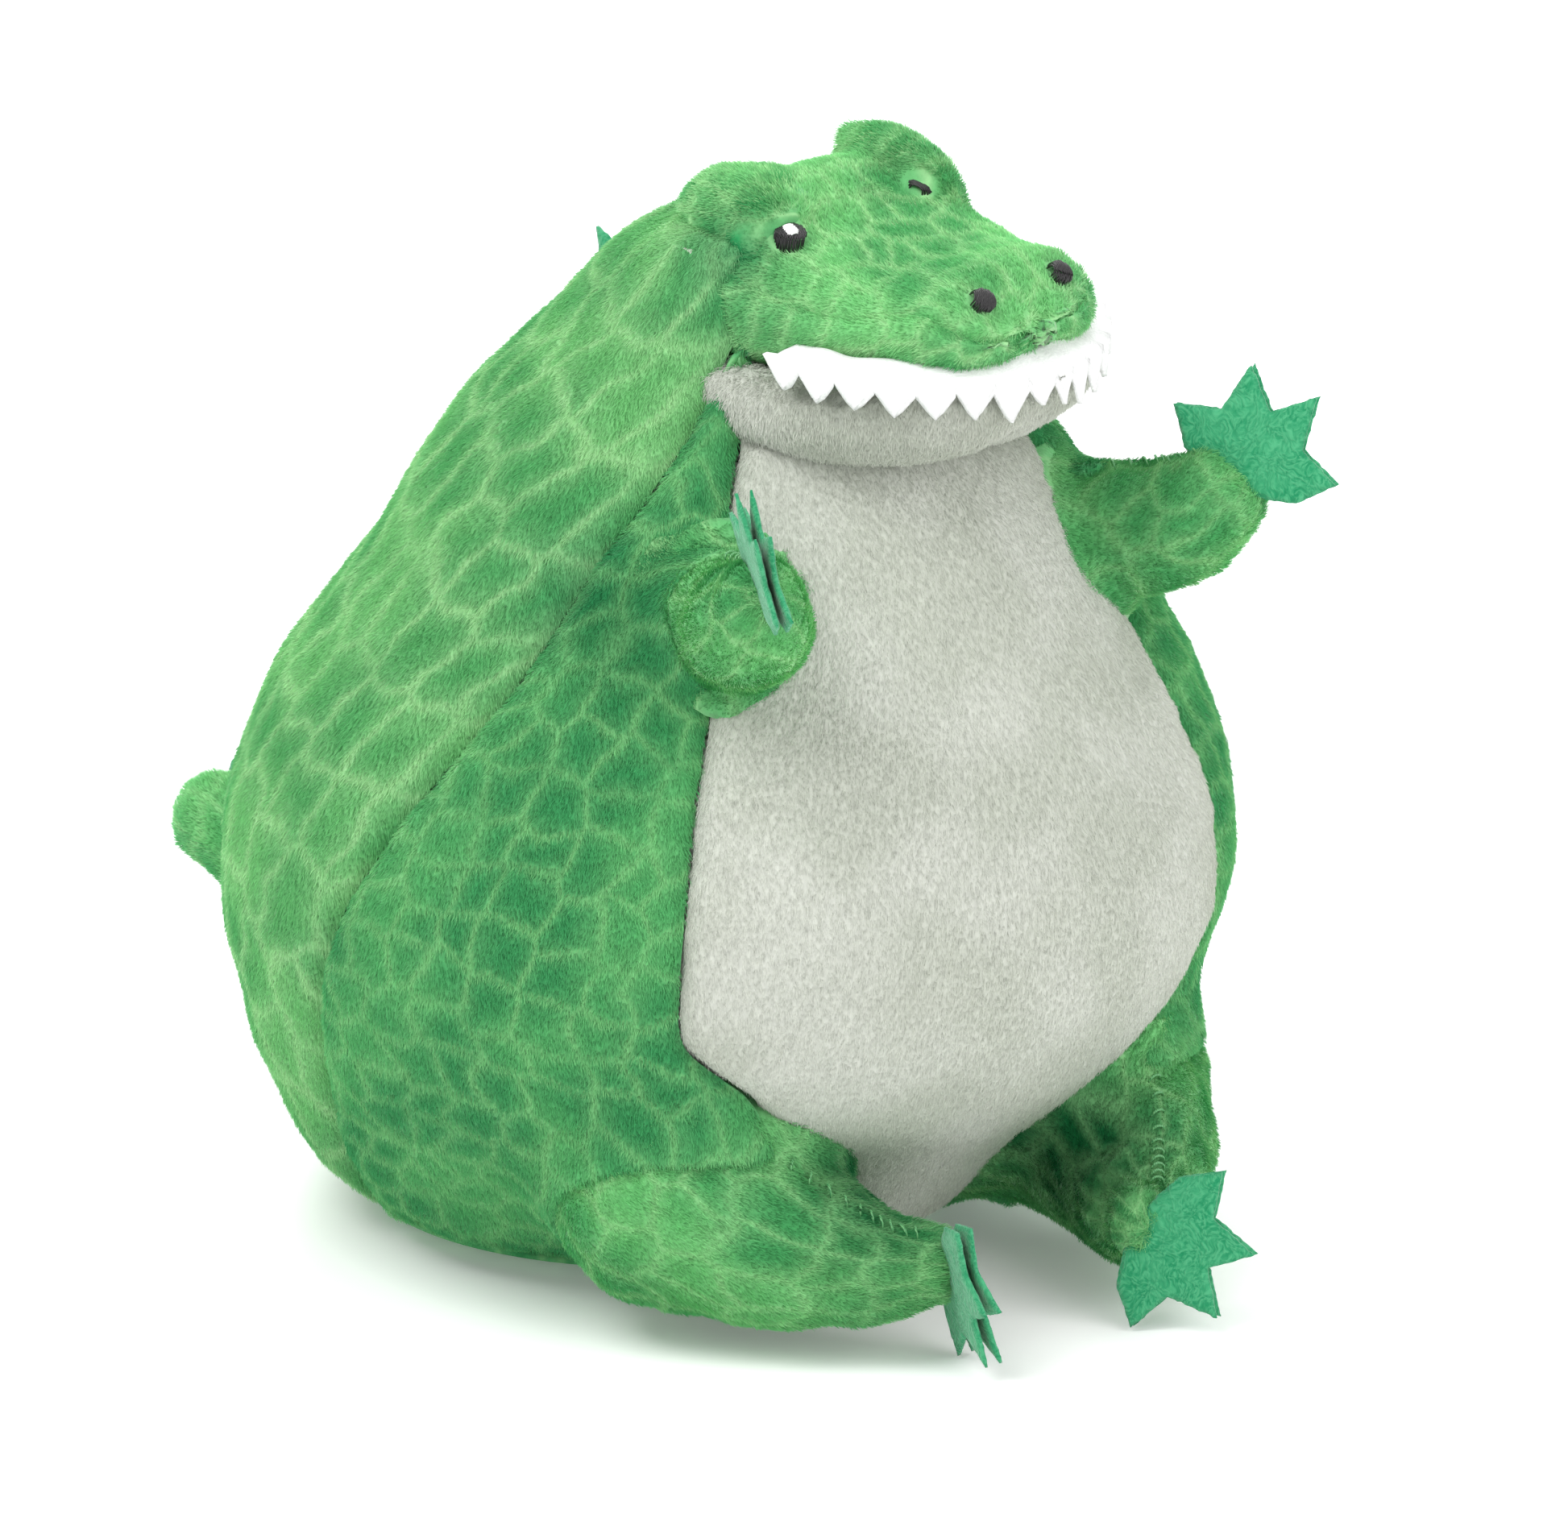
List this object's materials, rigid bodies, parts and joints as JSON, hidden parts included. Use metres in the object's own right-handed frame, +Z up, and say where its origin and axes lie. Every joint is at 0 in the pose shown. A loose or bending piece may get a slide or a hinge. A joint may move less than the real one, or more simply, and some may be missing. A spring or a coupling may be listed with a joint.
{
  "type": "stuffed alligator",
  "caption": "Fat seated plush alligator with felt hands, feet, teeth and spikes, a pale belly and limbs and tail that bend at their seams.",
  "frame": {"origin": "on the floor under the middle of the toy's box", "axes": "+Z up, the toy faces -Y, +X is its left"},
  "size_m": [0.1748, 0.2495, 0.199],
  "materials": {
    "green_plush": "matte",
    "pale_plush": "matte",
    "green_felt": "matte",
    "white_felt": "matte",
    "fibre_filling": "matte",
    "bag_cloth": "matte",
    "black_thread": "matte",
    "white_thread": "matte"
  },
  "bodies": {
    "root": {"belly_panel": "pale_plush", "side_panel_left": "green_plush", "side_panel_right": "green_plush", "back_panel_left": "green_plush", "back_panel_right": "green_plush", "seat_panel": "green_plush", "pellet_bag": "bag_cloth", "body_stuffing": "fibre_filling", "head_top_panel": "green_plush", "cheek_panel_left": "green_plush", "cheek_panel_right": "green_plush", "jaw_panel": "pale_plush", "jaw_stuffing": "fibre_filling", "head_stuffing": "fibre_filling", "brow_left": "green_plush", "brow_right": "green_plush", "teeth_strip": "white_felt", "eye_left": "black_thread", "eye_right": "black_thread", "eye_highlight_left": "white_thread", "eye_highlight_right": "white_thread", "nostril_left": "black_thread", "nostril_right": "black_thread", "spine_spike_1": "green_felt", "spine_spike_2": "green_felt", "spine_spike_3": "green_felt", "spine_spike_4": "green_felt", "spine_spike_5": "green_felt", "spine_spike_6": "green_felt"},
    "arm_left": {"arm_left_sleeve": "green_plush", "arm_left_stuffing": "fibre_filling"},
    "hand_left": {"arm_left_felt_front": "green_felt", "arm_left_felt_back": "green_felt"},
    "arm_right": {"arm_right_sleeve": "green_plush", "arm_right_stuffing": "fibre_filling"},
    "hand_right": {"arm_right_felt_front": "green_felt", "arm_right_felt_back": "green_felt"},
    "leg_left": {"leg_left_sleeve": "green_plush", "leg_left_stuffing": "fibre_filling"},
    "foot_left": {"leg_left_felt_front": "green_felt", "leg_left_felt_back": "green_felt"},
    "leg_right": {"leg_right_sleeve": "green_plush", "leg_right_stuffing": "fibre_filling"},
    "foot_right": {"leg_right_felt_front": "green_felt", "leg_right_felt_back": "green_felt"},
    "tail": {"tail_skin": "green_plush", "tail_stuffing": "fibre_filling", "tail_spike_1": "green_felt", "tail_spike_2": "green_felt"}
  },
  "joints": [
    {"name": "arm_left_bend", "type": "hinge", "parent": "root", "child": "arm_left", "pos_m": [0.036, -0.0618, 0.1285], "axis": [0.76, 0.65, 0], "range_deg": [-18, 15], "stiffness_Nm_per_rad": 0.05},
    {"name": "hand_left_flap", "type": "hinge", "parent": "arm_left", "child": "hand_left", "pos_m": [0.05723, -0.09208, 0.14491], "axis": [-0.518, 0.771, 0.3704], "range_deg": [-15, 15], "stiffness_Nm_per_rad": 0.002},
    {"name": "arm_right_bend", "type": "hinge", "parent": "root", "child": "arm_right", "pos_m": [-0.036, -0.0618, 0.1285], "axis": [0.8867, -0.4623, 0], "range_deg": [-18, 15], "stiffness_Nm_per_rad": 0.05},
    {"name": "hand_right_flap", "type": "hinge", "parent": "arm_right", "child": "hand_right", "pos_m": [-0.04987, -0.09608, 0.14491], "axis": [-0.3313, -0.8678, -0.3704], "range_deg": [-15, 15], "stiffness_Nm_per_rad": 0.002},
    {"name": "leg_left_bend", "type": "hinge", "parent": "root", "child": "leg_left", "pos_m": [0.043, -0.0638, 0.027], "axis": [0.8645, 0.5026, 0], "range_deg": [-14, 0], "stiffness_Nm_per_rad": 0.1},
    {"name": "foot_left_flap", "type": "hinge", "parent": "leg_left", "child": "foot_left", "pos_m": [0.02451, -0.11004, 0.01649], "axis": [0.4321, -0.2514, 0.8661], "range_deg": [-15, 15], "stiffness_Nm_per_rad": 0.002},
    {"name": "leg_right_bend", "type": "hinge", "parent": "root", "child": "leg_right", "pos_m": [-0.043, -0.0638, 0.027], "axis": [0.9387, -0.3449, 0], "range_deg": [-14, 0], "stiffness_Nm_per_rad": 0.1},
    {"name": "foot_right_flap", "type": "hinge", "parent": "leg_right", "child": "foot_right", "pos_m": [-0.01637, -0.10625, 0.01649], "axis": [0.3064, 0.3949, -0.8661], "range_deg": [-15, 15], "stiffness_Nm_per_rad": 0.002},
    {"name": "tail_wag", "type": "hinge", "parent": "root", "child": "tail", "pos_m": [0, 0.0562, 0.032], "axis": [0, 0, 1], "range_deg": [-20, 20], "stiffness_Nm_per_rad": 0.05}
  ]
}
